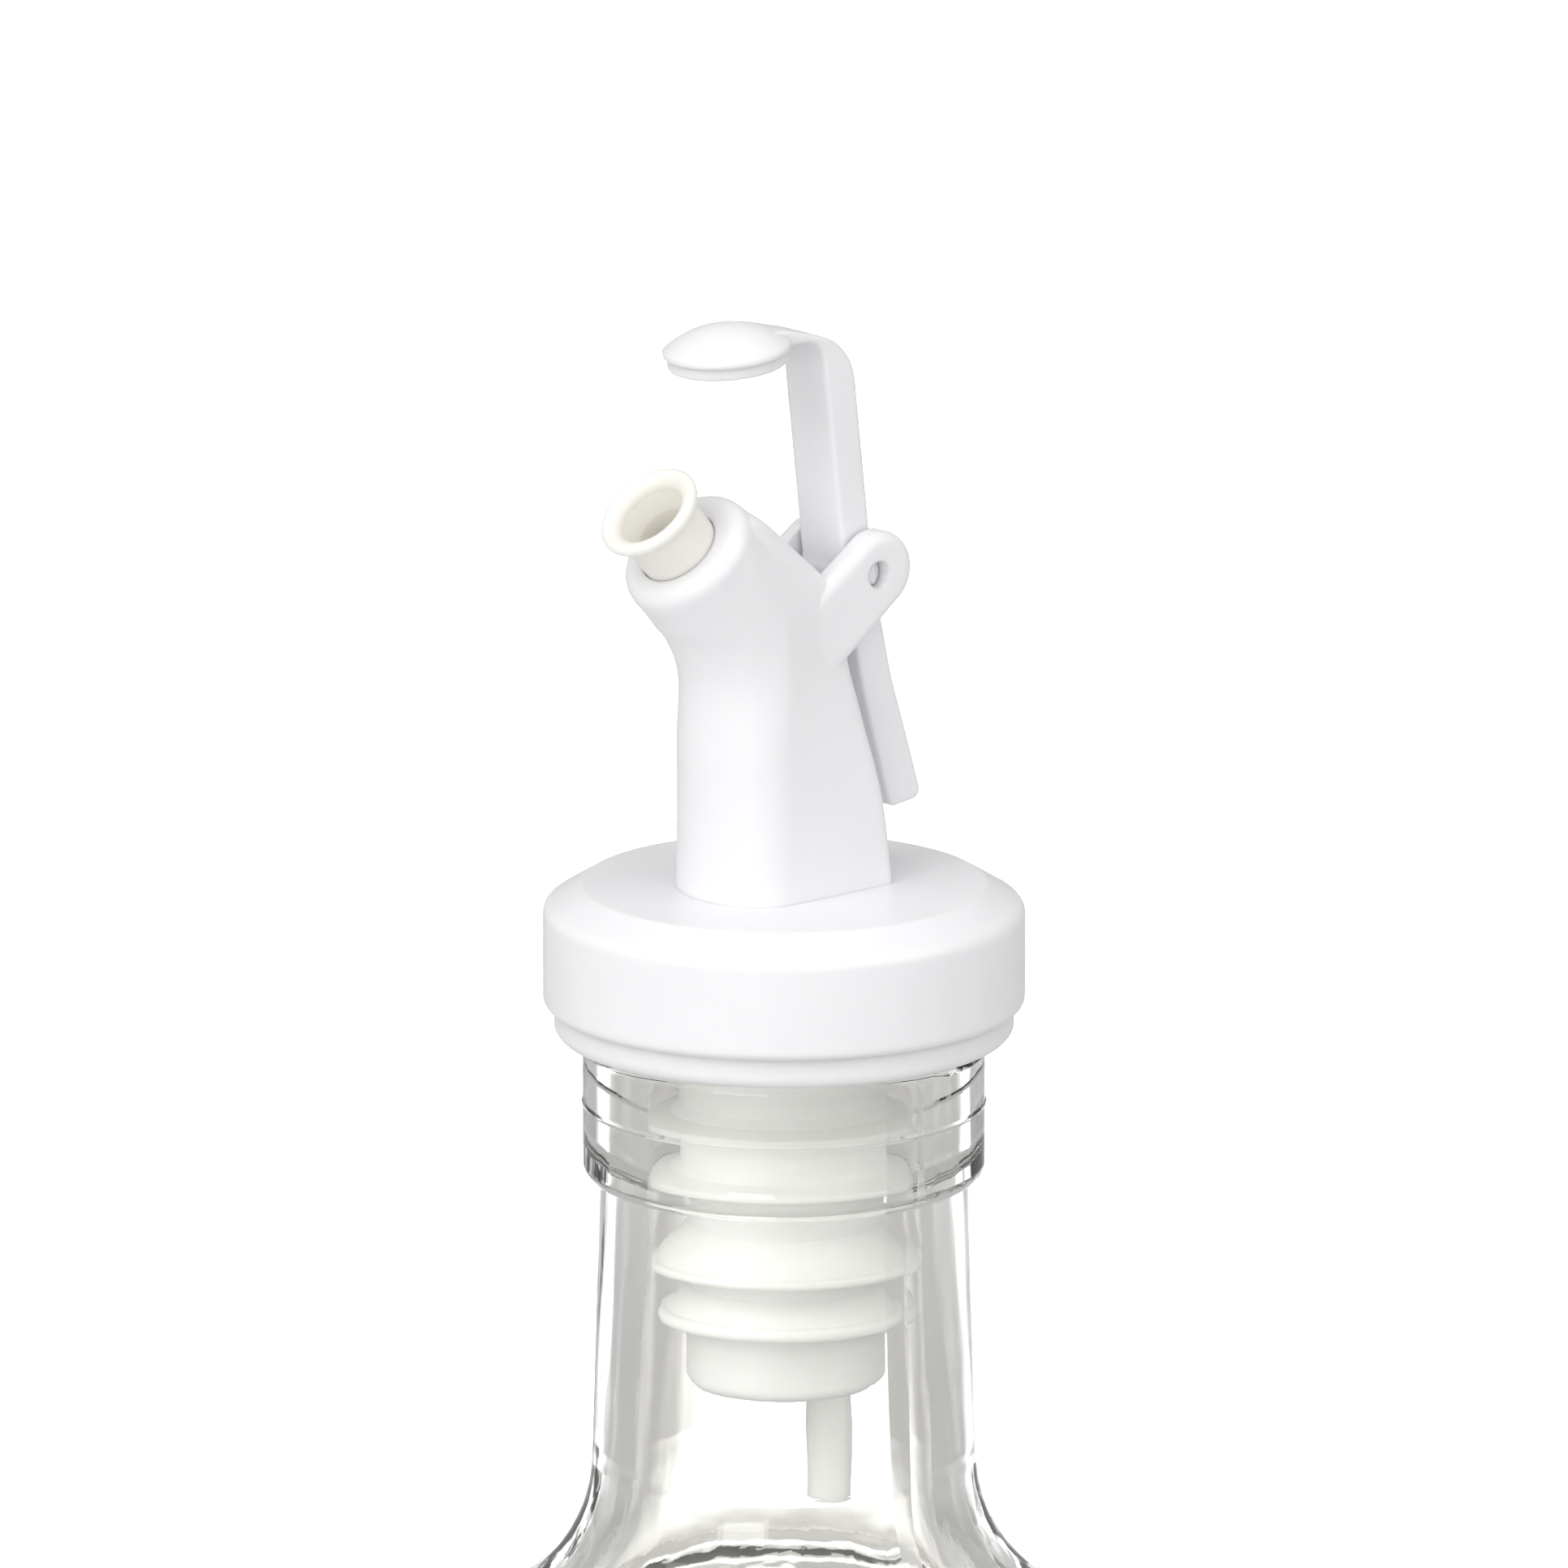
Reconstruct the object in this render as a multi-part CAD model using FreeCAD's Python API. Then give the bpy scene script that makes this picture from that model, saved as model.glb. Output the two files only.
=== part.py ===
import FreeCAD, Part
import math
import os

# Glass oil bottle with a pushed-in pourer and a hinged lever cap.
# Millimetres, +Z up, origin at the bottom centre of the bottle, spout towards -Y.
#
# Positions on the pourer are given as (forward, up): forward is the distance from the
# bottle axis towards the spout, up is the height above the deck, the flat top of the
# round cap that covers the bottle mouth.

# ---- bottle ----
MOUTH_Z = 232.0
BODY_R = 34.0
WALL = 3.1
COLLAR_R = 13.95
COLLAR_H = 10.1
COLLAR_EDGE = 1.2
SEAM_DROP = 4.6
SEAM_RISE = 0.07
SEAM_HALF = 0.22
NECK_LOW_R = 13.35
NECK_DROP = 30.3
NECK_DRAFT = 1.7
FLARE_R = 12.0
SHOULDER_DEG = 62.0
BORE_R = 9.25
BORE_MID_R = 9.42
BORE_MID_DROP = 15.5
LIP_IN_R = 0.8
LIP_OUT_R = 1.0
HEEL_R = 5.0
FOOT_IN_R = 21.0
PUNT_H = 2.6
FLOOR_Z = 5.6
FLOOR_CROWN = 1.6
INNER_HEEL_R = 6.0

# ---- deck and stopper ----
SEAT_GAP = 0.02
PRESS_FIT = 0.02
DECK_Z = MOUTH_Z + SEAT_GAP + 10.7
CAP_R = 16.65
CAP_FLAT_R = 14.0
CAP_BEVEL_Z = -1.6
CAP_BEVEL_EDGE = 0.9
CAP_BOTTOM_Z = -8.5
CAP_EDGE = 0.6
GASKET_R = 15.9
GASKET_BOTTOM_Z = -10.7
GASKET_EDGE = 0.9
SPIGOT_R = 5.3
SPIGOT_END_Z = -34.6
SLEEVE_TOP_R = 7.45
SLEEVE_STEP_Z = -20.6
SLEEVE_R = 6.65
SLEEVE_END_Z = -35.2
SLEEVE_EDGE = 0.9
SLEEVE_FLARE = 0.5
FIN_ROOT_R = 7.9
FIN_TIP_R = 9.15
FIN_BLADE = 0.45
FIN_SKIRT = 1.5
FIN_ROOT_H = 0.9
FIN_TUCK = 0.5
THIN_FIN_Z = (-16.1, -20.1)
BROAD_FINS = ((-26.5, 9.15, 0.7), (-30.4, 8.66, 1.0))

# ---- column and spout, side view ----
SPOUT_DEG = 48.0
SPOUT_MOUTH = (9.6, 25.2)
SPOUT_RIM_EDGE = 1.15
POUR_BORE_R = 2.05
SEAT_R = 2.9
SEAT_DEPTH = 9.0
RISER = (1.9, -3.0)
VENT_AT = -4.2
VENT_BORE_R = 1.0
VENT_OUT_Z = 3.0
VENT_HOLE_R = 0.6
VENT_OUT_R = 0.5
VENT_OUT_LEN = 3.0

# Stations of the column, from the deck up to the spout: front point, rear point, half
# width where the front curve meets the side, half width at the rear corner, how far back
# the front curve ends (share of the depth), rear corner size, swell of the side.
STATIONS = (
    ((7.66, -1.20), (-5.62, -1.20), 5.20, 5.22, 0.19, 0.60, 0.06),
    ((7.68, 2.20), (-5.48, 2.20), 5.17, 5.10, 0.19, 0.60, 0.06),
    ((7.70, 5.60), (-5.14, 5.60), 5.12, 4.92, 0.20, 0.65, 0.06),
    ((7.72, 9.00), (-4.38, 9.10), 5.03, 4.68, 0.20, 0.70, 0.06),
    ((7.76, 12.00), (-3.58, 12.30), 4.92, 4.42, 0.22, 0.80, 0.06),
    ((7.84, 14.50), (-2.95, 15.00), 4.82, 4.15, 0.26, 0.90, 0.08),
    ((8.30, 16.25), (-2.60, 17.40), 4.78, 4.00, 0.30, 1.00, 0.10),
    ((9.20, 17.87), (-2.50, 19.60), 4.78, 3.95, 0.34, 1.20, 0.14),
    ((10.00, 18.77), (-1.10, 22.00), 4.80, 4.00, 0.38, 1.50, 0.22),
    ((10.90, 19.77), (1.60, 24.50), 4.84, 4.00, 0.42, 1.80, 0.32),
    ((11.60, 20.55), (3.45, 26.25), 4.86, 3.90, 0.44, 1.90, 0.40),
)
# Length of the rounding on each side of the corner between front curve and side.
FRONT_CORNER = 1.5
RIM_CENTRE = (9.375, 25.375)
RIM_R = 4.88

# ---- hinge ears ----
PIVOT = (-5.0, 21.75)
EAR_END = (-5.50, 21.90)
EAR_END_R = 2.75
EAR_TOP_DEG = 55.0
EAR_LOW_DEG = 231.7
EAR_IN = 2.55
EAR_OUT = 4.25
EAR_EDGE = 0.8
EAR_UPPER_ROOT = (2.4, 19.75)
EAR_LOWER_ROOT = (-1.0, 15.08)
EAR_FRONT_ROOT = (3.4, 17.0)
HOLE_R = 0.95
# The slot between the ears: how far it opens above and below the pivot, and its floor.
SLOT_UP = 6.0
SLOT_DOWN = 7.5
SLOT_FLOOR = ((-3.3, 17.6), (-2.75, 20.1))

# ---- nozzle ----
NOZZLE_R = 2.835
NOZZLE_BORE_R = 2.05
NOZZLE_OUT = 4.3
LIP_R = 3.76
LIP_THICK = 0.9
LIP_ROOT = 0.9
LIP_CURVE = (0.16, 0.38)
FUNNEL_R = 2.85
FUNNEL_DEPTH = 2.6
FUNNEL_EDGE = (0.12, 0.32)
FUNNEL_THROAT = (0.42, 1.1)
NOZZLE_SLACK = 0.3

# ---- lever ----
LEVER_HALF = 2.25
LEVER_EDGE = 0.25
HUB_R = 1.5
TRUNNION_R = 0.89
TRUNNION_END = 3.3
STUB_R = 0.75
STUB_END = 3.75
STUB_SLANT_DEG = 28.0
STUB_SLANT_IN = 0.1
# Side view of the lever bar with the cap raised: forward, up, corner radius.
LEVER_SIDE = (
    (-4.30, 38.00, 4.20),
    (1.60, 39.56, 3.00),
    (3.30, 39.62, 0.56),
    (3.30, 38.40, 0.56),
    (-1.60, 38.50, 1.60),
    (-3.66, 21.30, 8.00),
    (-5.30, 13.30, 20.0),
    (-7.85, 4.40, 0.60),
    (-10.75, 4.80, 0.70),
    (-9.20, 9.90, 20.0),
    (-7.95, 13.80, 20.0),
    (-6.28, 21.30, 8.00),
)
DISC_AT = (5.2, 38.2)
DISC_DEG = 84.7
DISC_R = 4.4
DISC_EDGE = 0.4
DISC_CHAMFER = 0.15
DOME_H = 1.6
PAD_R = 4.12
PAD_THICK = 0.88
PAD_EDGE = 0.25

# ---- vent tube ----
TUBE_TOP_R = 1.66
TUBE_END_R = 1.54
TUBE_TOP_GAP = 0.05
TUBE_END_Z = -44.1
TUBE_BORE_R = 0.6
TUBE_SHANK = 6.0
TUBE_SLACK = 0.2


def vec(x, y, z):
    return FreeCAD.Vector(x, y, z)


def side(point, across=0.0):
    """Turns (forward, up) on the pourer into a point in the shared frame."""
    return vec(across, -point[0], DECK_Z + point[1])


def radial(point):
    return vec(point[0], 0, point[1])


def turn(centre, radius, start, end):
    """An arc step of an outline: its middle point and its end point."""
    def on(angle):
        a = math.radians(angle)
        return (centre[0] + radius * math.cos(a), centre[1] + radius * math.sin(a))
    return (on((start + end) / 2), on(end))


def outline(place, start, steps):
    """A closed flat face from straight steps (a point) and arc steps (middle, end)."""
    edges = []
    here = start
    for step in steps:
        if isinstance(step[0], tuple):
            arc = Part.Arc(place(here), place(step[0]), place(step[1]))
            edges.append(arc.toShape())
            here = step[1]
        else:
            edges.append(Part.makeLine(place(here), place(step)))
            here = step
    if place(here).distanceToPoint(place(start)) > 1e-6:
        edges.append(Part.makeLine(place(here), place(start)))
    return Part.Face(Part.Wire(edges))


def softened(corners):
    """Start point and steps of a closed outline whose corners carry a radius."""
    count = len(corners)
    steps = []
    for i, (forward, up, radius) in enumerate(corners):
        here = vec(forward, up, 0)
        before = vec(*corners[i - 1][:2], 0)
        after = vec(*corners[(i + 1) % count][:2], 0)
        if radius == 0:
            steps.append((forward, up))
            continue
        to_before = (before - here).normalize()
        to_after = (after - here).normalize()
        half = to_before.getAngle(to_after) / 2
        reach = radius / math.tan(half)
        middle = (to_before + to_after).normalize()
        centre = here + middle * (radius / math.sin(half))
        first = here + to_before * reach
        last = here + to_after * reach
        mid = centre - middle * radius
        steps.append((first.x, first.y))
        steps.append(((mid.x, mid.y), (last.x, last.y)))
    return steps[-1] if not isinstance(steps[-1][0], tuple) else steps[-1][1], steps


def revolved(start, steps):
    face = outline(radial, start, steps)
    return face.revolve(vec(0, 0, 0), vec(0, 0, 1), 360)


def slab(start, steps, half_from, half_to):
    """A side-view outline given thickness between two distances across."""
    face = outline(side, start, steps)
    face.translate(vec(half_from, 0, 0))
    return face.extrude(vec(half_to - half_from, 0, 0))


def rod(start, direction, radius, length):
    return Part.makeCylinder(radius, length, start, direction)


def heading(degrees):
    """Unit direction in the side view, degrees above straight forward."""
    a = math.radians(degrees)
    return (math.cos(a), math.sin(a))


def along(point, degrees, distance):
    d = heading(degrees)
    return (point[0] + d[0] * distance, point[1] + d[1] * distance)


def heading_vec(degrees):
    d = heading(degrees)
    return vec(0, -d[0], d[1])


def rounded(shape, radius, chosen):
    """Fillets the edges that the rule picks out."""
    edges = [e for e in shape.Edges if chosen(e)]
    return shape.makeFillet(radius, edges)


# ------------------------------------------------------------------ bottle
def crowned(radius, height, rise):
    """An arc step from a circle of this radius up to the axis, as part of a sphere."""
    ball = (radius ** 2 + rise ** 2) / (2 * rise)
    lean = math.degrees(math.acos(radius / ball))
    return turn((0, height + rise - ball), ball, lean, 90)


def shoulder_centres():
    """Centres of the concave flare and of the convex shoulder."""
    draft = math.radians(NECK_DRAFT)
    slope = math.radians(SHOULDER_DEG)
    low = MOUTH_Z - NECK_DROP
    flare = (NECK_LOW_R + FLARE_R * math.cos(draft), low + FLARE_R * math.sin(draft))
    end = (flare[0] - FLARE_R * math.cos(slope), flare[1] - FLARE_R * math.sin(slope))
    big = (BODY_R - end[0]) / (1 - math.cos(slope))
    crown = (BODY_R - big, end[1] - big * math.sin(slope))
    return flare, crown, big


def bottle():
    flare, crown, big = shoulder_centres()
    top = MOUTH_Z
    seam = top - SEAM_DROP
    collar_low = top - COLLAR_H
    outer = [
        (COLLAR_R - LIP_OUT_R, top),
        turn((COLLAR_R - LIP_OUT_R, top - LIP_OUT_R), LIP_OUT_R, 90, 0),
        (COLLAR_R, seam + SEAM_HALF),
        (COLLAR_R + SEAM_RISE, seam),
        (COLLAR_R, seam - SEAM_HALF),
        (COLLAR_R, collar_low + COLLAR_EDGE),
        turn((COLLAR_R - COLLAR_EDGE, collar_low + COLLAR_EDGE), COLLAR_EDGE, 0, -90),
        (NECK_LOW_R, top - NECK_DROP),
        turn(flare, FLARE_R, 180 + NECK_DRAFT, 180 + SHOULDER_DEG),
        turn(crown, big, SHOULDER_DEG, 0),
        (BODY_R, HEEL_R),
        turn((BODY_R - HEEL_R, HEEL_R), HEEL_R, 0, -90),
        (FOOT_IN_R, 0),
        crowned(FOOT_IN_R, 0, PUNT_H),
    ]
    in_r = BODY_R - WALL
    bore_low = (flare[0] + (FLARE_R + WALL) * math.cos(math.radians(180 + NECK_DRAFT)),
                flare[1] + (FLARE_R + WALL) * math.sin(math.radians(180 + NECK_DRAFT)))
    outside = revolved((0, top), outer)
    hollow = revolved((0, top + 1), [
        (BORE_R, top + 1),
        (BORE_R, top),
        ((BORE_MID_R, top - BORE_MID_DROP), bore_low),
        turn(flare, FLARE_R + WALL, 180 + NECK_DRAFT, 180 + SHOULDER_DEG),
        turn(crown, big - WALL, SHOULDER_DEG, 0),
        (in_r, FLOOR_Z + INNER_HEEL_R),
        turn((in_r - INNER_HEEL_R, FLOOR_Z + INNER_HEEL_R), INNER_HEEL_R, 0, -90),
        crowned(in_r - INNER_HEEL_R, FLOOR_Z, FLOOR_CROWN),
    ])
    glass = outside.cut(hollow)

    def mouth_inner(edge):
        box = edge.BoundBox
        return abs(box.ZMin - top) < 1e-4 and abs(box.XMax - BORE_R) < 1e-3
    return rounded(glass, LIP_IN_R, mouth_inner)


# ------------------------------------------------------------------ stopper
def thin_fin(tip_z):
    """A thick skirt that ends in a thin flexible blade."""
    z = DECK_Z + tip_z
    return revolved((SPIGOT_R + FIN_TUCK, z + FIN_SKIRT + FIN_TUCK), [
        (SLEEVE_TOP_R, z + FIN_SKIRT),
        (FIN_ROOT_R, z + FIN_ROOT_H),
        (FIN_TIP_R, z + FIN_BLADE),
        (FIN_TIP_R, z),
        (FIN_ROOT_R, z + 0.1),
        (SPIGOT_R + FIN_TUCK, z + 0.3),
    ])


def broad_fin(tip_z, tip_r, tip_thick):
    """An umbrella-shaped fin with a rounded tip."""
    z = DECK_Z + tip_z
    nose = tip_thick / 2
    cone = tip_r - SLEEVE_R - nose
    return revolved((SPIGOT_R + FIN_TUCK, z + tip_thick + cone), [
        (SLEEVE_R, z + tip_thick + cone),
        (tip_r - nose, z + tip_thick),
        turn((tip_r - nose, z + nose), nose, 90, -90),
        (SPIGOT_R + FIN_TUCK, z + 0.3),
    ])


def stopper():
    top = DECK_Z + CAP_BOTTOM_Z
    low = DECK_Z + GASKET_BOTTOM_Z
    step = DECK_Z + SLEEVE_STEP_Z
    end = DECK_Z + SLEEVE_END_Z
    body = revolved((0, top), [
        (GASKET_R, top),
        (GASKET_R, low + GASKET_EDGE),
        turn((GASKET_R - GASKET_EDGE, low + GASKET_EDGE), GASKET_EDGE, 0, -90),
        (SLEEVE_TOP_R + SLEEVE_FLARE, low),
        (SLEEVE_TOP_R, low - SLEEVE_FLARE),
        (SLEEVE_TOP_R, step),
        (SLEEVE_R, step - SLEEVE_TOP_R + SLEEVE_R),
        (SLEEVE_R, end + SLEEVE_EDGE),
        turn((SLEEVE_R - SLEEVE_EDGE, end + SLEEVE_EDGE), SLEEVE_EDGE, 0, -90),
        (0, end),
    ])
    for tip_z in THIN_FIN_Z:
        body = body.fuse(thin_fin(tip_z))
    for fin in BROAD_FINS:
        body = body.fuse(broad_fin(*fin))
    core = rod(vec(0, 0, end - 1), vec(0, 0, 1), SPIGOT_R + PRESS_FIT, top - end + 2)
    return body.cut(core).removeSplitter()


# ------------------------------------------------------------------ housing
def station_wire(front, rear, wide, rear_wide, share, corner, swell):
    """One cross-section of the column, in the plane through its front and rear points."""
    span = (rear[0] - front[0], rear[1] - front[1])

    def at(part, across):
        return side((front[0] + span[0] * part, front[1] + span[1] * part), across)
    depth = math.hypot(*span)
    back = corner / depth
    knee = 0.293
    mid_wide = (wide + rear_wide) / 2 + swell
    mid_part = (share + 1 - back) / 2
    bow = share * depth
    bow_r = (bow ** 2 + wide ** 2) / (2 * bow)
    lean = math.asin(wide / bow_r) - FRONT_CORNER / bow_r
    near = (bow_r * (1 - math.cos(lean)) / depth, bow_r * math.sin(lean))
    far = (share + FRONT_CORNER / depth, wide)
    turn_at = ((near[0] + far[0]) / 4 + share / 2, (near[1] + far[1]) / 4 + wide / 2)
    edges = [Part.Arc(at(near[0], -near[1]), at(0, 0), at(*near)).toShape()]
    edges.append(Part.Arc(at(*near), at(*turn_at), at(*far)).toShape())
    edges.append(Part.Arc(at(*far), at(mid_part, mid_wide),
                          at(1 - back, rear_wide)).toShape())
    edges.append(Part.Arc(at(1 - back, rear_wide),
                          at(1 - back * knee, rear_wide - corner * knee),
                          at(1, rear_wide - corner)).toShape())
    edges.append(Part.makeLine(at(1, rear_wide - corner), at(1, corner - rear_wide)))
    edges.append(Part.Arc(at(1, corner - rear_wide),
                          at(1 - back * knee, corner * knee - rear_wide),
                          at(1 - back, -rear_wide)).toShape())
    edges.append(Part.Arc(at(1 - back, -rear_wide), at(mid_part, -mid_wide),
                          at(far[0], -far[1])).toShape())
    edges.append(Part.Arc(at(far[0], -far[1]), at(turn_at[0], -turn_at[1]),
                          at(near[0], -near[1])).toShape())
    return Part.Wire(edges)


def rim_start():
    """Centre of the spout where its rounded rim begins."""
    return along(RIM_CENTRE, SPOUT_DEG, -SPOUT_RIM_EDGE)


def rim_wire():
    """The round end of the spout, cut into the same eight runs as the stations."""
    centre = rim_start()

    def on(angle):
        a = math.radians(angle)
        ahead = along(centre, SPOUT_DEG - 90, RIM_R * math.cos(a))
        return side(ahead, RIM_R * math.sin(a))
    marks = (-66, 66, 107, 128, 152, 208, 232, 253, 294)
    edges = []
    for first, last in zip(marks[:-1], marks[1:]):
        edges.append(Part.Arc(on(first), on((first + last) / 2), on(last)).toShape())
    return Part.Wire(edges)


def rim():
    """The rounded rim that finishes the spout."""
    ring = revolved((0, 0), [
        (RIM_R, 0),
        turn((RIM_R - SPOUT_RIM_EDGE, 0), SPOUT_RIM_EDGE, 0, 90),
        (0, SPOUT_RIM_EDGE),
    ])
    ring.rotate(vec(0, 0, 0), vec(1, 0, 0), 90 - SPOUT_DEG)
    ring.translate(side(rim_start()))
    return ring


def column():
    wires = [station_wire(*station) for station in STATIONS]
    wires.append(rim_wire())
    return Part.makeLoft(wires, True, False).fuse(rim())


def ears():
    """Two plates reaching back from the column, with the hinge holes in their round ends."""
    start = along(EAR_END, EAR_TOP_DEG, EAR_END_R)
    arc = turn(EAR_END, EAR_END_R, EAR_TOP_DEG, EAR_LOW_DEG)
    plate = slab(EAR_UPPER_ROOT, [start, arc, EAR_LOWER_ROOT, EAR_FRONT_ROOT],
                 EAR_IN, EAR_OUT)

    def outer_rim(edge):
        box = edge.BoundBox
        if box.XMin < EAR_OUT - 1e-4:
            return False
        mid = edge.valueAt((edge.FirstParameter + edge.LastParameter) / 2)
        return -mid.y < 1.0
    near = rounded(plate, EAR_EDGE, outer_rim)
    return near.fuse(near.mirror(vec(0, 0, 0), vec(1, 0, 0)))


def cap():
    z = DECK_Z
    slope = math.atan2(-CAP_BEVEL_Z, CAP_R - CAP_FLAT_R)
    reach = CAP_BEVEL_EDGE * math.tan((math.pi / 2 - slope) / 2)
    bevel_end = (CAP_R - reach * math.cos(slope), z + CAP_BEVEL_Z + reach * math.sin(slope))
    edge = (CAP_R - CAP_BEVEL_EDGE, z + CAP_BEVEL_Z - reach)
    return revolved((0, z), [
        (CAP_FLAT_R, z),
        bevel_end,
        turn(edge, CAP_BEVEL_EDGE, 90 - math.degrees(slope), 0),
        (CAP_R, z + CAP_BOTTOM_Z + CAP_EDGE),
        turn((CAP_R - CAP_EDGE, z + CAP_BOTTOM_Z + CAP_EDGE), CAP_EDGE, 0, -90),
        (SPIGOT_R, z + CAP_BOTTOM_Z),
        (SPIGOT_R, z + SPIGOT_END_Z),
        (0, z + SPIGOT_END_Z),
    ])


def passages():
    """The pour way from the foot of the spigot to the spout, and the air way beside it."""
    back = heading_vec(SPOUT_DEG).negative()
    mouth = side(SPOUT_MOUTH)
    seat = rod(mouth - back, back, SEAT_R, SEAT_DEPTH + 1)
    knee = (RISER[0], SPOUT_MOUTH[1] - (SPOUT_MOUTH[0] - RISER[0])
            * math.tan(math.radians(SPOUT_DEG)))
    reach = math.hypot(SPOUT_MOUTH[0] - knee[0], SPOUT_MOUTH[1] - knee[1])
    slope = rod(mouth, back, POUR_BORE_R, reach)
    riser = rod(side((RISER[0], SPIGOT_END_Z - 1)), vec(0, 0, 1), POUR_BORE_R,
                knee[1] - SPIGOT_END_Z + 1)
    ball = Part.makeSphere(POUR_BORE_R, side(knee))
    vent = rod(side((VENT_AT, SPIGOT_END_Z - 1)), vec(0, 0, 1), VENT_BORE_R,
               TUBE_SHANK + 1)
    air = rod(side((VENT_AT, SPIGOT_END_Z)), vec(0, 0, 1), VENT_HOLE_R,
              VENT_OUT_Z - SPIGOT_END_Z)
    outlet = rod(side((VENT_AT + 0.2, VENT_OUT_Z - 0.9)), vec(0, 1, 0),
                 VENT_OUT_R, VENT_OUT_LEN)
    return [seat, slope, riser, ball, vent, air, outlet]


def housing():
    body = column().fuse(cap()).fuse(ears())
    pivot_hole = rod(side(PIVOT, -EAR_OUT - 1), vec(1, 0, 0), HOLE_R, 2 * EAR_OUT + 2)
    slot = slab(along(PIVOT, 60, SLOT_UP),
                [along(PIVOT, 120, SLOT_UP), along(PIVOT, 240, SLOT_DOWN), *SLOT_FLOOR],
                -EAR_IN, EAR_IN)
    body = body.cut(slot)
    for way in passages() + [pivot_hole]:
        body = body.cut(way)
    return body.removeSplitter()


# ------------------------------------------------------------------ nozzle
def nozzle():
    """A soft insert: a straight tube with a flared lip and a funnel throat."""
    length = SEAT_DEPTH - NOZZLE_SLACK
    straight = NOZZLE_OUT - LIP_THICK
    nose = LIP_THICK / 2
    edge_r, edge_drop = FUNNEL_EDGE
    throat_r, throat_drop = FUNNEL_THROAT
    face = outline(radial, (NOZZLE_BORE_R, -length), [
        (NOZZLE_R, -length),
        (NOZZLE_R, straight - LIP_ROOT),
        ((NOZZLE_R + LIP_CURVE[0], straight - LIP_CURVE[1]), (LIP_R - nose, straight)),
        turn((LIP_R - nose, straight + nose), nose, -90, 90),
        ((FUNNEL_R - edge_r, NOZZLE_OUT - edge_drop),
         (FUNNEL_R - throat_r, NOZZLE_OUT - throat_drop)),
        (NOZZLE_BORE_R, NOZZLE_OUT - FUNNEL_DEPTH),
    ])
    tube = face.revolve(vec(0, 0, 0), vec(0, 0, 1), 360)
    tilt = 90 - SPOUT_DEG
    tube.rotate(vec(0, 0, 0), vec(1, 0, 0), tilt)
    tube.translate(side(SPOUT_MOUTH))
    return tube


# ------------------------------------------------------------------ lever
def lever_blade():
    """Arm, bend and tail as one bar seen from the side."""
    start, steps = softened(LEVER_SIDE)
    return slab(start, steps, -LEVER_HALF, LEVER_HALF)


def disc():
    """The round cap that closes the nozzle: a low dome on a thin straight edge."""
    swell = (DISC_R ** 2 + DOME_H ** 2) / (2 * DOME_H)
    lean = math.degrees(math.asin(DISC_R / swell))
    dome = revolved((0, 0), [
        (DISC_R - DISC_CHAMFER, 0),
        (DISC_R, DISC_CHAMFER),
        (DISC_R, DISC_EDGE),
        turn((0, DISC_EDGE + DOME_H - swell), swell, 90 - lean, 90),
    ])
    return placed_on_disc(dome)


def placed_on_disc(shape):
    """Moves a part built around the Z axis onto the tilted underside of the disc."""
    shape.rotate(vec(0, 0, 0), vec(1, 0, 0), 90 - DISC_DEG)
    shape.translate(side(DISC_AT))
    return shape


def trunnion():
    """One hinge stub with a slanted lead-in face at its end."""
    fit = rod(side(PIVOT, LEVER_HALF - 0.5), vec(1, 0, 0), TRUNNION_R,
              TRUNNION_END - LEVER_HALF + 0.5)
    tip = rod(side(PIVOT, TRUNNION_END), vec(1, 0, 0), STUB_R, STUB_END - TRUNNION_END)
    wedge = slab(along(PIVOT, 135, 3), [along(PIVOT, 225, 3), along(PIVOT, 315, 3),
                                        along(PIVOT, 45, 3)], 0, 2)
    wedge.rotate(side(PIVOT), vec(0, 0, 1), STUB_SLANT_DEG)
    wedge.translate(vec(STUB_END - STUB_SLANT_IN, 0, 0))
    return fit.fuse(tip).cut(wedge)


def pad_seat():
    """The room that the seal pad takes under the disc."""
    seat = Part.makeCylinder(PAD_R + PRESS_FIT, PAD_THICK, vec(0, 0, -PAD_THICK))
    return placed_on_disc(seat)


def lever():
    blade = lever_blade()

    def long_edge(edge):
        box = edge.BoundBox
        return box.XMax - box.XMin < 1e-4
    blade = rounded(blade, LEVER_EDGE, long_edge).cut(pad_seat())
    hub = rod(side(PIVOT, -LEVER_HALF), vec(1, 0, 0), HUB_R, 2 * LEVER_HALF)
    right = trunnion()
    left = right.mirror(vec(0, 0, 0), vec(1, 0, 0))
    return blade.fuse(hub).fuse(disc()).fuse(right).fuse(left).removeSplitter()


def seal_pad():
    """The soft disc under the lever cap that lands on the nozzle lip."""
    pad = revolved((0, 0), [
        (PAD_R, 0),
        (PAD_R, PAD_EDGE - PAD_THICK),
        turn((PAD_R - PAD_EDGE, PAD_EDGE - PAD_THICK), PAD_EDGE, 0, -90),
        (0, -PAD_THICK),
    ])
    return placed_on_disc(pad)


# ------------------------------------------------------------------ vent tube
def vent_tube():
    top = SLEEVE_END_Z - TUBE_TOP_GAP
    shank_end = SPIGOT_END_Z + TUBE_SHANK - TUBE_SLACK
    tube = Part.makeCone(TUBE_END_R, TUBE_TOP_R, top - TUBE_END_Z,
                         side((VENT_AT, TUBE_END_Z)), vec(0, 0, 1))
    shank = rod(side((VENT_AT, top)), vec(0, 0, 1), VENT_BORE_R - PRESS_FIT,
                shank_end - top)
    bore = rod(side((VENT_AT, TUBE_END_Z - 1)), vec(0, 0, 1), TUBE_BORE_R,
               shank_end - TUBE_END_Z + 2)
    return tube.fuse(shank).cut(bore)


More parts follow.
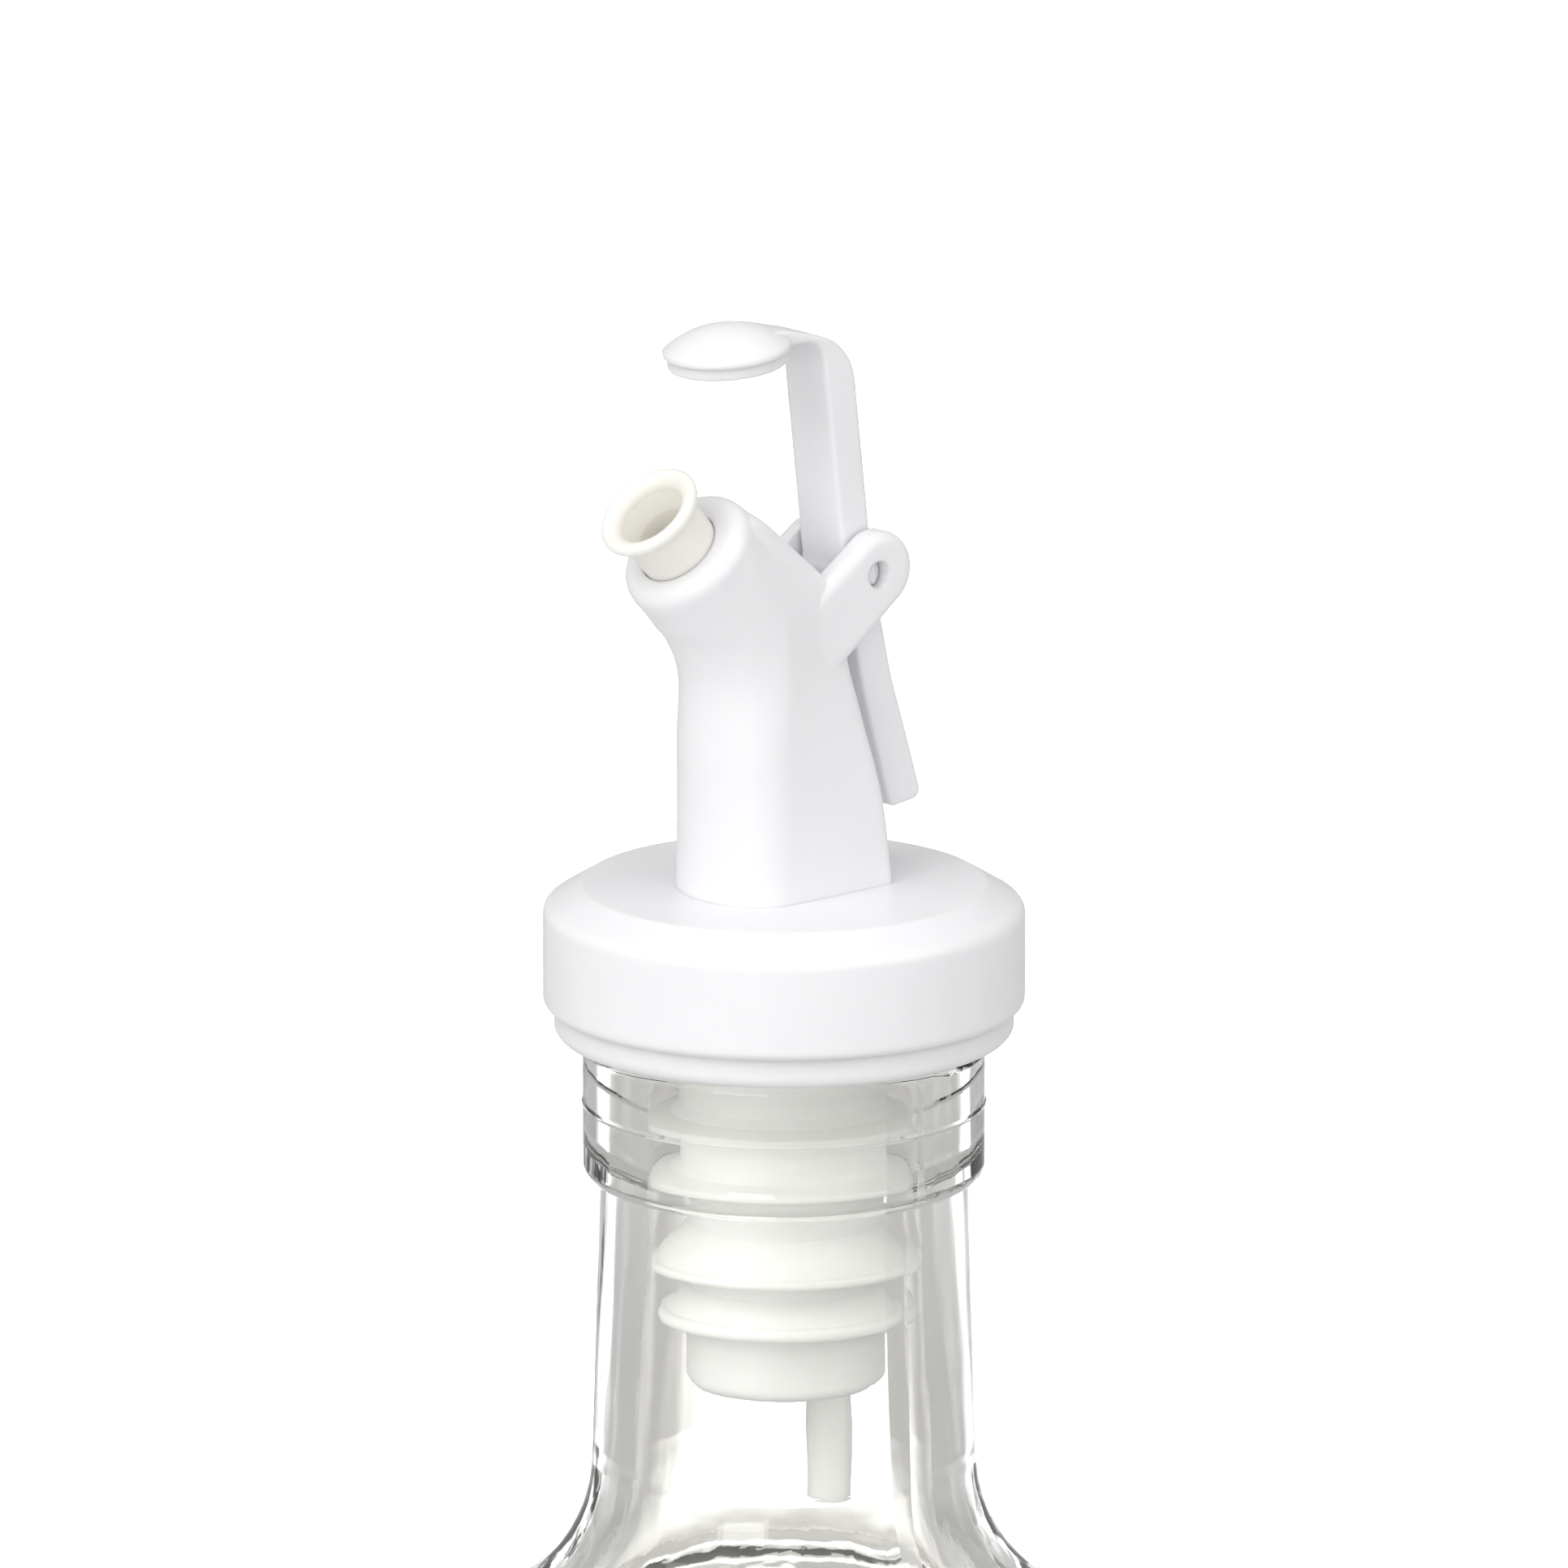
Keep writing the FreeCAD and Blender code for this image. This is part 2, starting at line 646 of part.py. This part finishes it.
PARTS = {
    "bottle": bottle,
    "stopper": stopper,
    "housing": housing,
    "nozzle": nozzle,
    "lever": lever,
    "seal_pad": seal_pad,
    "vent_tube": vent_tube,
}

for name, make in PARTS.items():
    shape = make()
    shape.exportStep("parts/" + name + ".step")
    print(name, shape.isValid(), len(shape.Solids), round(shape.Volume, 1))
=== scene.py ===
import math

import bpy
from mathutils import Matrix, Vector


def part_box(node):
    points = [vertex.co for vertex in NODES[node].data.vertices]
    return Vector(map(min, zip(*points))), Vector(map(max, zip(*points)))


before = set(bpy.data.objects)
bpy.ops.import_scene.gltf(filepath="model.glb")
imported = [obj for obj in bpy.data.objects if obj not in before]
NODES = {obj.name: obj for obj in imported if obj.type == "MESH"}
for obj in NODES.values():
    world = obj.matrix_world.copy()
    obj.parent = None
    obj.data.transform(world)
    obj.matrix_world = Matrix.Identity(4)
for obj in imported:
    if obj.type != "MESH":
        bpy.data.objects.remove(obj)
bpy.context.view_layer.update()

# Lengths are in metres, angles in degrees and lamp power in watts, unless a comment says otherwise.
# An azimuth turns from the spout's side, -Y, towards +X.

# ---------------------------------------------------------------- camera
VIEW_AZIMUTH = 49.0
VIEW_ELEVATION = 14.0
AIM_Z = 0.2497
CAMERA_DISTANCE = 1.5
FRAME_WIDTH = 0.10794    # what the picture spans at the aim point
SENSOR = 36.0            # mm
CLIP_NEAR = 0.01
CLIP_FAR = 50.0

# ---------------------------------------------------------------- floor and walls
FLOOR_HALF = 6.0
FLOOR_TONE = 0.66
FLOOR_ROUGH = 0.9
FLOOR_SHINE = 0.1
CARD_ELEVATION = 15.0
CARD_EDGE = (0.1, 0.75)  # cosines of the angle from the card's middle, where it starts and is full
CARD_LIGHT = 0.98
WALL_LIGHT = 0.47

# ---------------------------------------------------------------- lamps
POOL_WIDTH = 0.17
POOL_LENGTH = 1.1
POOL_AWAY = 1.05
POOL_HEIGHT = 0.5
POOL_SPREAD = 55.0
POOL_POWER = 2.8
LAMP_AIM = Vector((0, 0, 0.2))
# name, azimuth from the view's, elevation, distance, (width, height), power
LAMPS = [
    ("key_left", -50, 42, 1.2, (0.8, 0.8), 4.0),
    ("fill_right", 75, 30, 1.4, (0.6, 0.8), 2.2),
    ("top", 0, 85, 1.2, (0.8, 0.8), 1.8),
    ("low_left", -25, 6, 1.1, (0.6, 0.25), 1.5),
]
BOUNCES = 24
GLOSSY_BOUNCES = 12

# ---------------------------------------------------------------- surfaces
TONE_SPAN = (0.3, 0.7)   # the part of a noise over which one tone turns into the other
EDGE_SAMPLES = 8

WHITE = (0.9, 0.893, 0.91)
WHITE_MOTTLE = 0.975     # the mottle's darker tone, as a share of the colour
WHITE_IOR = 1.49
WHITE_SCATTER = 0.0012
WHITE_GRAIN_DEPTH = 0.000004
WHITE_WAVE_DEPTH = 0.00004
HOUSING_EDGE = 0.00035
HOUSING_ROUGH = (0.31, 0.38)
LEVER_EDGE = 0.0005
LEVER_ROUGH = (0.32, 0.4)

CAP_HEIGHT = 0.0085      # from the top of the stopper to the top of the cap
COLUMN_EDGE = 0.0009
COLUMN_FOOT = 0.0004     # above the cap, as the next one is
COLUMN_TOP = 0.0165
COLUMN_FADE = 0.0015

SOFT_MOTTLE = 0.96
SOFT_IOR = 1.45
SOFT_EDGE = 0.00015
SOFT_GRAIN_DEPTH = 0.000012

GLASS_IOR = 1.51
GLASS_WARM = (0.982, 0.975, 0.948)
GLASS_CLEAR = (0.99, 0.985, 0.962)
GLASS_TO_LAMPS = (0.985, 0.99, 0.98)
GLASS_WAVE_DEPTH = 0.0003
GLASS_LINE_DEPTH = 0.00002
GLASS_ROUGH = (0.0, 0.012)


def material(name):
    mat = bpy.data.materials.new(name)
    mat.use_nodes = True
    tree = mat.node_tree
    shader = tree.nodes["Principled BSDF"]
    return mat, tree, shader


def coords(tree, scale=(1.0, 1.0, 1.0)):
    """Object coordinates in metres: a scale under 1 stretches the detail along that axis."""
    source = tree.nodes.new("ShaderNodeTexCoord")
    mapping = tree.nodes.new("ShaderNodeMapping")
    mapping.inputs["Scale"].default_value = scale
    tree.links.new(source.outputs["Object"], mapping.inputs["Vector"])
    return mapping.outputs["Vector"]


def noise(tree, vector, scale, detail):
    node = tree.nodes.new("ShaderNodeTexNoise")
    node.inputs["Scale"].default_value = scale
    node.inputs["Detail"].default_value = detail
    tree.links.new(vector, node.inputs["Vector"])
    return node.outputs["Fac"]


def two_tone(tree, value, first, second):
    """Turns from one colour to another as a 0..1 value grows."""
    node = tree.nodes.new("ShaderNodeValToRGB")
    for stop, place, colour in zip(node.color_ramp.elements, TONE_SPAN, (first, second)):
        stop.position = place
        stop.color = (*colour, 1)
    tree.links.new(value, node.inputs["Fac"])
    return node.outputs["Color"]


def mottled(tree, value, colour, darker):
    return two_tone(tree, value, tuple(c * darker for c in colour), colour)


def spread(tree, value, low, high):
    """Stretches a 0..1 value to low..high."""
    node = tree.nodes.new("ShaderNodeMapRange")
    node.inputs["To Min"].default_value = low
    node.inputs["To Max"].default_value = high
    tree.links.new(value, node.inputs["Value"])
    return node.outputs["Result"]


def bump(tree, height, depth, strength, normal=None):
    node = tree.nodes.new("ShaderNodeBump")
    node.inputs["Distance"].default_value = depth
    node.inputs["Strength"].default_value = strength
    tree.links.new(height, node.inputs["Height"])
    if normal is not None:
        tree.links.new(normal, node.inputs["Normal"])
    return node.outputs["Normal"]


def soft_edges(tree, radius):
    node = tree.nodes.new("ShaderNodeBevel")
    node.samples = EDGE_SAMPLES
    node.inputs["Radius"].default_value = radius
    return node.outputs["Normal"]


def height_radius(tree, low_z, high_z, fade, least, most):
    """An edge radius that is larger between two heights."""
    place = tree.nodes.new("ShaderNodeTexCoord")
    split = tree.nodes.new("ShaderNodeSeparateXYZ")
    tree.links.new(place.outputs["Object"], split.inputs["Vector"])
    rise = tree.nodes.new("ShaderNodeMapRange")
    rise.inputs["From Min"].default_value = low_z
    rise.inputs["From Max"].default_value = low_z + fade
    rise.inputs["To Min"].default_value = least
    rise.inputs["To Max"].default_value = most
    fall = tree.nodes.new("ShaderNodeMapRange")
    fall.inputs["From Min"].default_value = high_z
    fall.inputs["From Max"].default_value = high_z + fade
    fall.inputs["To Max"].default_value = least
    tree.links.new(split.outputs["Z"], rise.inputs["Value"])
    tree.links.new(split.outputs["Z"], fall.inputs["Value"])
    tree.links.new(rise.outputs["Result"], fall.inputs["To Min"])
    return fall.outputs["Result"]


def white_plastic(name, edge, rough, column=None):
    """Satin moulded polypropylene: faint flow mottle, fine grain and a slow surface wave."""
    mat, tree, shader = material(name)
    place = coords(tree)
    mottle = noise(tree, place, scale=160.0, detail=4.0)
    tree.links.new(mottled(tree, mottle, WHITE, WHITE_MOTTLE), shader.inputs["Base Color"])
    tree.links.new(spread(tree, mottle, *rough), shader.inputs["Roughness"])
    grain = noise(tree, place, scale=3500.0, detail=2.0)
    wave = noise(tree, place, scale=220.0, detail=1.0)
    edges = soft_edges(tree, edge)
    if column is not None:
        radius = height_radius(tree, *column, least=edge, most=COLUMN_EDGE)
        tree.links.new(radius, edges.node.inputs["Radius"])
    grained = bump(tree, grain, WHITE_GRAIN_DEPTH, 0.5, edges)
    waved = bump(tree, wave, WHITE_WAVE_DEPTH, 0.5, grained)
    tree.links.new(waved, shader.inputs["Normal"])
    shader.inputs["IOR"].default_value = WHITE_IOR
    shader.inputs["Subsurface Weight"].default_value = 0.25
    shader.inputs["Subsurface Radius"].default_value = (1.0, 0.9, 0.95)
    shader.inputs["Subsurface Scale"].default_value = WHITE_SCATTER
    return mat


def soft_plastic(name, colour, rough, scatter):
    """Matt silicone or soft polyethylene that lets a little light into itself."""
    mat, tree, shader = material(name)
    place = coords(tree)
    mottle = noise(tree, place, scale=260.0, detail=3.0)
    tree.links.new(mottled(tree, mottle, colour, SOFT_MOTTLE), shader.inputs["Base Color"])
    tree.links.new(spread(tree, mottle, rough - 0.05, rough + 0.08), shader.inputs["Roughness"])
    grain = noise(tree, place, scale=2600.0, detail=3.0)
    grained = bump(tree, grain, SOFT_GRAIN_DEPTH, 0.6, soft_edges(tree, SOFT_EDGE))
    tree.links.new(grained, shader.inputs["Normal"])
    shader.inputs["IOR"].default_value = SOFT_IOR
    shader.inputs["Subsurface Weight"].default_value = 0.5
    shader.inputs["Subsurface Radius"].default_value = (1.0, 0.95, 0.85)
    shader.inputs["Subsurface Scale"].default_value = scatter
    return mat


def clear_glass():
    """Bottle glass: slow waves, fine vertical draw lines and a faint warm tint."""
    mat, tree, shader = material("bottle_glass")
    shader.inputs["Transmission Weight"].default_value = 1.0
    shader.inputs["IOR"].default_value = GLASS_IOR
    place = coords(tree, (1.0, 1.0, 0.3))
    waves = noise(tree, place, scale=150.0, detail=2.0)
    lines = noise(tree, coords(tree, (1.0, 1.0, 0.03)), scale=900.0, detail=2.0)
    waved = bump(tree, waves, GLASS_WAVE_DEPTH, 0.5)
    drawn = bump(tree, lines, GLASS_LINE_DEPTH, 0.5, waved)
    tree.links.new(drawn, shader.inputs["Normal"])
    tint = noise(tree, place, scale=60.0, detail=1.0)
    tree.links.new(two_tone(tree, tint, GLASS_WARM, GLASS_CLEAR), shader.inputs["Base Color"])
    tree.links.new(spread(tree, lines, *GLASS_ROUGH), shader.inputs["Roughness"])
    let_lamps_through(tree, shader)
    return mat


def let_lamps_through(tree, shader):
    """Lamp light reaches what is inside the glass."""
    path = tree.nodes.new("ShaderNodeLightPath")
    clear = tree.nodes.new("ShaderNodeBsdfTransparent")
    clear.inputs["Color"].default_value = (*GLASS_TO_LAMPS, 1)
    both = tree.nodes.new("ShaderNodeMixShader")
    tree.links.new(path.outputs["Is Shadow Ray"], both.inputs["Fac"])
    tree.links.new(shader.outputs["BSDF"], both.inputs[1])
    tree.links.new(clear.outputs["BSDF"], both.inputs[2])
    tree.links.new(both.outputs["Shader"], tree.nodes["Material Output"].inputs["Surface"])


def dress(node, mat):
    piece = NODES[node]
    piece.data.materials.clear()
    piece.data.materials.append(mat)


def dress_all():
    deck_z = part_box("stopper")[1].z + CAP_HEIGHT
    column = (deck_z + COLUMN_FOOT, deck_z + COLUMN_TOP, COLUMN_FADE)
    dress("bottle", clear_glass())
    dress("housing", white_plastic("housing_plastic", HOUSING_EDGE, HOUSING_ROUGH, column))
    dress("lever", white_plastic("lever_plastic", LEVER_EDGE, LEVER_ROUGH))
    dress("nozzle", soft_plastic("nozzle_silicone", (0.93, 0.905, 0.84), rough=0.42, scatter=0.0015))
    dress("stopper", soft_plastic("stopper_polymer", (0.95, 0.95, 0.94), rough=0.4, scatter=0.003))
    dress("seal_pad", soft_plastic("seal_pad_soft", (0.87, 0.86, 0.87), rough=0.45, scatter=0.001))
    dress("vent_tube", soft_plastic("vent_tube_polymer", (0.93, 0.93, 0.92), rough=0.4, scatter=0.002))


def floor():
    mesh = bpy.data.meshes.new("floor")
    low = -FLOOR_HALF
    high = FLOOR_HALF
    mesh.from_pydata([(low, low, 0), (high, low, 0), (high, high, 0), (low, high, 0)],
                     [], [(0, 1, 2, 3)])
    plane = bpy.data.objects.new("floor", mesh)
    bpy.context.scene.collection.objects.link(plane)
    mat, _, shader = material("floor_paper")
    shader.inputs["Base Color"].default_value = (FLOOR_TONE, FLOOR_TONE, FLOOR_TONE, 1)
    shader.inputs["Roughness"].default_value = FLOOR_ROUGH
    shader.inputs["Specular IOR Level"].default_value = FLOOR_SHINE
    mesh.materials.append(mat)


def direction(azimuth, elevation):
    a = math.radians(azimuth)
    e = math.radians(elevation)
    return Vector((math.sin(a) * math.cos(e), -math.cos(a) * math.cos(e), math.sin(e)))


def rectangle_lamp(name, size, power):
    data = bpy.data.lights.new(name, "AREA")
    data.shape = "RECTANGLE"
    data.size, data.size_y = size
    data.energy = power
    lamp = bpy.data.objects.new(name, data)
    lamp.visible_camera = False
    bpy.context.scene.collection.objects.link(lamp)
    return lamp


def backdrop_light():
    """A narrow pool of light on the floor behind the bottle, from a lamp that the camera doesn't see."""
    lamp = rectangle_lamp("backdrop_pool", (POOL_WIDTH, POOL_LENGTH), POOL_POWER)
    lamp.data.spread = math.radians(POOL_SPREAD)
    way = direction(VIEW_AZIMUTH + 180, 0)
    lamp.location = way * POOL_AWAY + Vector((0, 0, POOL_HEIGHT))
    lamp.rotation_euler = (0, 0, math.radians(VIEW_AZIMUTH))


def studio_lights():
    for name, turn, elevation, distance, size, power in LAMPS:
        lamp = rectangle_lamp(name, size, power)
        way = direction(VIEW_AZIMUTH + turn, elevation)
        lamp.location = LAMP_AIM + way * distance
        lamp.rotation_mode = "QUATERNION"
        lamp.rotation_quaternion = way.to_track_quat("Z", "Y")


def studio_world():
    """Pale walls, with a large white card on the side that the main view is taken from."""
    world = bpy.data.worlds.new("studio")
    bpy.context.scene.world = world
    world.use_nodes = True
    tree = world.node_tree
    back = tree.nodes["Background"]
    place = tree.nodes.new("ShaderNodeTexCoord")
    facing = tree.nodes.new("ShaderNodeVectorMath")
    facing.operation = "DOT_PRODUCT"
    facing.inputs[1].default_value = direction(VIEW_AZIMUTH, CARD_ELEVATION)
    tree.links.new(place.outputs["Generated"], facing.inputs[0])
    fade = tree.nodes.new("ShaderNodeMapRange")
    fade.interpolation_type = "SMOOTHSTEP"
    fade.inputs["From Min"].default_value = CARD_EDGE[0]
    fade.inputs["From Max"].default_value = CARD_EDGE[1]
    fade.inputs["To Min"].default_value = WALL_LIGHT
    fade.inputs["To Max"].default_value = CARD_LIGHT
    tree.links.new(facing.outputs["Value"], fade.inputs["Value"])
    tree.links.new(fade.outputs["Result"], back.inputs["Strength"])
    back.inputs["Color"].default_value = (1, 1, 1, 1)


def camera():
    data = bpy.data.cameras.new("camera")
    data.sensor_width = SENSOR
    data.lens = SENSOR * CAMERA_DISTANCE / FRAME_WIDTH
    data.clip_start = CLIP_NEAR
    data.clip_end = CLIP_FAR
    cam = bpy.data.objects.new("camera", data)
    bpy.context.scene.collection.objects.link(cam)
    way = direction(VIEW_AZIMUTH, VIEW_ELEVATION)
    cam.location = Vector((0, 0, AIM_Z)) + way * CAMERA_DISTANCE
    cam.rotation_mode = "QUATERNION"
    cam.rotation_quaternion = way.to_track_quat("Z", "Y")
    bpy.context.scene.camera = cam


dress_all()
floor()
studio_world()
backdrop_light()
studio_lights()
camera()
bpy.context.scene.view_settings.view_transform = "Standard"
bpy.context.scene.cycles.max_bounces = BOUNCES
bpy.context.scene.cycles.transmission_bounces = BOUNCES
bpy.context.scene.cycles.glossy_bounces = GLOSSY_BOUNCES
